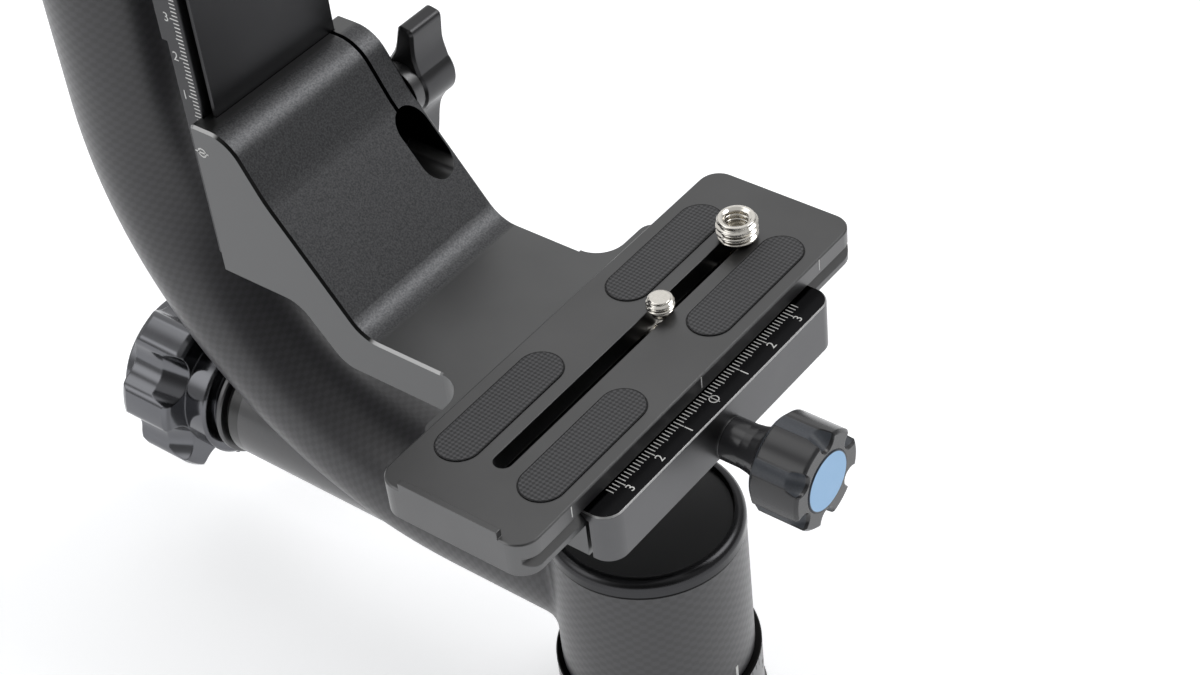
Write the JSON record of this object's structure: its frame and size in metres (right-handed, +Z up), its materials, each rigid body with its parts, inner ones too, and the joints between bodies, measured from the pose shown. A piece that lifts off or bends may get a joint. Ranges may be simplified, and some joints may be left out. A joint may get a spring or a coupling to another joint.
{
  "type": "gimbal tripod head",
  "caption": "Gimbal tripod head with a hollow curved arm, tilting rail, height bracket and clamped camera plate.",
  "frame": {"origin": "on the panning axis, in the mouth of the tripod socket on the foot's underside", "axes": "+Z up the panning axis, +X from the arm's column towards the clamp knob, +Y along the camera plate"},
  "size_m": [0.2518, 0.1177, 0.2369],
  "materials": {
    "body_black": "dark grey anodising, satin",
    "jaw_black": "near black anodising, glossy top",
    "carbon_weave": "woven carbon fibre under clear lacquer",
    "cap_black": "black anodising, satin",
    "ring_grey": "plain light grey, fine turned",
    "knob_gloss": "gloss black",
    "knob_black": "black anodising, satin",
    "disc_blue": "light blue anodising, turned",
    "pad_rubber": "fine moulded grip pattern",
    "screw_steel": "bright nickel plate",
    "bearing_steel": "ground",
    "brake_bronze": "sintered lining",
    "washer_plastic": "natural white",
    "seal_rubber": "smooth"
  },
  "bodies": {
    "base": {"pan_base": "body_black", "pan_scale_ring": "ring_grey", "pan_spindle": "screw_steel", "spindle_screws": "screw_steel", "pan_bearing_inner_races": "bearing_steel", "pan_retaining_nut": "screw_steel"},
    "arm": {"carbon_arm": "carbon_weave", "pan_housing_liner": "ring_grey", "pan_bearing_outer_races": "bearing_steel", "pan_bearing_balls": "bearing_steel", "pan_cap": "cap_black", "lock_boss": "body_black", "tilt_housing_liner": "ring_grey", "tilt_bearing_outer_races": "bearing_steel", "tilt_bearing_balls": "bearing_steel", "tilt_friction_washer": "washer_plastic"},
    "pan_brake": {"pan_brake_plunger": "screw_steel", "pan_brake_pad": "brake_bronze"},
    "pan_lock": {"pan_lock_shaft": "screw_steel", "pan_shaft_clip": "screw_steel", "pan_lock_seal": "seal_rubber", "pan_lock_washer": "ring_grey", "pan_lock_knob": "knob_gloss", "pan_lock_cap": "knob_black"},
    "tilt": {"tilt_spindle": "body_black", "tilt_bearing_inner_races": "bearing_steel", "tilt_retaining_nut": "screw_steel", "rail": "body_black", "rail_screws": "screw_steel", "rail_stop_screws": "screw_steel"},
    "tilt_brake": {"tilt_pressure_plate": "ring_grey"},
    "tilt_lock": {"tilt_lock_knob": "knob_gloss", "tilt_lock_cap": "knob_black"},
    "camera_bracket": {"bracket": "body_black", "jaw_guide_pins": "screw_steel", "jaw_springs": "screw_steel"},
    "wing_slider": {"wing_washer": "ring_grey"},
    "wing_lock": {"wing_knob": "knob_black", "wing_stud": "screw_steel"},
    "jaw": {"clamp_jaw": "jaw_black", "clamp_collar": "ring_grey"},
    "jaw_screw": {"clamp_knob": "knob_black", "clamp_stud": "screw_steel", "clamp_knob_disc": "disc_blue"},
    "plate": {"camera_plate": "body_black", "pad_near_left": "pad_rubber", "pad_near_right": "pad_rubber", "pad_far_left": "pad_rubber", "pad_far_right": "pad_rubber"},
    "quarter_slider": {"quarter_screw_washer": "washer_plastic"},
    "quarter_bolt": {"quarter_screw": "screw_steel"},
    "bush_slider": {"bush_screw_washer": "washer_plastic"},
    "bush_bolt": {"bush_screw": "screw_steel", "thread_bush": "screw_steel"}
  },
  "joints": [
    {"name": "pan", "type": "hinge", "parent": "base", "child": "arm", "pos_m": [0, 0, 0.04], "axis": [0, 0, 1], "continuous": true},
    {"name": "pan_brake_slide", "type": "slide", "parent": "arm", "child": "pan_brake", "axis": [-1, 0, 0], "range_m": [0, 0.00119]},
    {"name": "pan_lock_turn", "type": "hinge", "parent": "pan_brake", "child": "pan_lock", "pos_m": [-0.13, 0, 0.0405], "axis": [-1, 0, 0], "range_deg": [0, 345]},
    {"name": "tilt", "type": "hinge", "parent": "arm", "child": "tilt", "pos_m": [-0.118, 0, 0.21], "axis": [1, 0, 0], "continuous": true},
    {"name": "tilt_brake_slide", "type": "slide", "parent": "tilt", "child": "tilt_brake", "axis": [-1, 0, 0], "range_m": [0, 0.00099]},
    {"name": "tilt_lock_turn", "type": "hinge", "parent": "tilt_brake", "child": "tilt_lock", "pos_m": [-0.18, 0, 0.21], "axis": [-1, 0, 0], "range_deg": [0, 205]},
    {"name": "bracket_height", "type": "slide", "parent": "tilt", "child": "camera_bracket", "axis": [0, 0, 1], "range_m": [0, 0.068]},
    {"name": "wing_washer_slide", "type": "slide", "parent": "camera_bracket", "child": "wing_slider", "axis": [0, 1, 0], "range_m": [0, 0.00099]},
    {"name": "wing_turn", "type": "hinge", "parent": "wing_slider", "child": "wing_lock", "pos_m": [-0.0812, 0.03, 0.1372], "axis": [0, 1, 0], "range_deg": [0, 360]},
    {"name": "jaw_slide", "type": "slide", "parent": "camera_bracket", "child": "jaw", "axis": [1, 0, 0], "range_m": [0, 0.00299]},
    {"name": "clamp_knob_turn", "type": "hinge", "parent": "jaw", "child": "jaw_screw", "pos_m": [0.03, 0, 0.1027], "axis": [1, 0, 0], "range_deg": [0, 1080]},
    {"name": "plate_slide", "type": "slide", "parent": "camera_bracket", "child": "plate", "axis": [0, 1, 0], "range_m": [-0.02, 0.02]},
    {"name": "quarter_screw_slide", "type": "slide", "parent": "plate", "child": "quarter_slider", "axis": [0, 1, 0], "range_m": [-0.053, 0.0095]},
    {"name": "quarter_screw_turn", "type": "hinge", "parent": "quarter_slider", "child": "quarter_bolt", "pos_m": [0.0002, 0.0124, 0.117], "axis": [0, 0, 1], "continuous": true},
    {"name": "bush_screw_slide", "type": "slide", "parent": "plate", "child": "bush_slider", "axis": [0, 1, 0], "range_m": [-0.008, 0]},
    {"name": "bush_screw_turn", "type": "hinge", "parent": "bush_slider", "child": "bush_bolt", "pos_m": [0.0002, 0.041, 0.117], "axis": [0, 0, 1], "continuous": true}
  ],
  "couplings": [
    {"joint": "pan_lock_turn", "follows": "pan_brake_slide", "rad_per_m": 5026.5},
    {"joint": "tilt_lock_turn", "follows": "tilt_brake_slide", "rad_per_m": 3590.4},
    {"joint": "wing_turn", "follows": "wing_washer_slide", "rad_per_m": 6283.2},
    {"joint": "clamp_knob_turn", "follows": "jaw_slide", "rad_per_m": 6283.2}
  ]
}
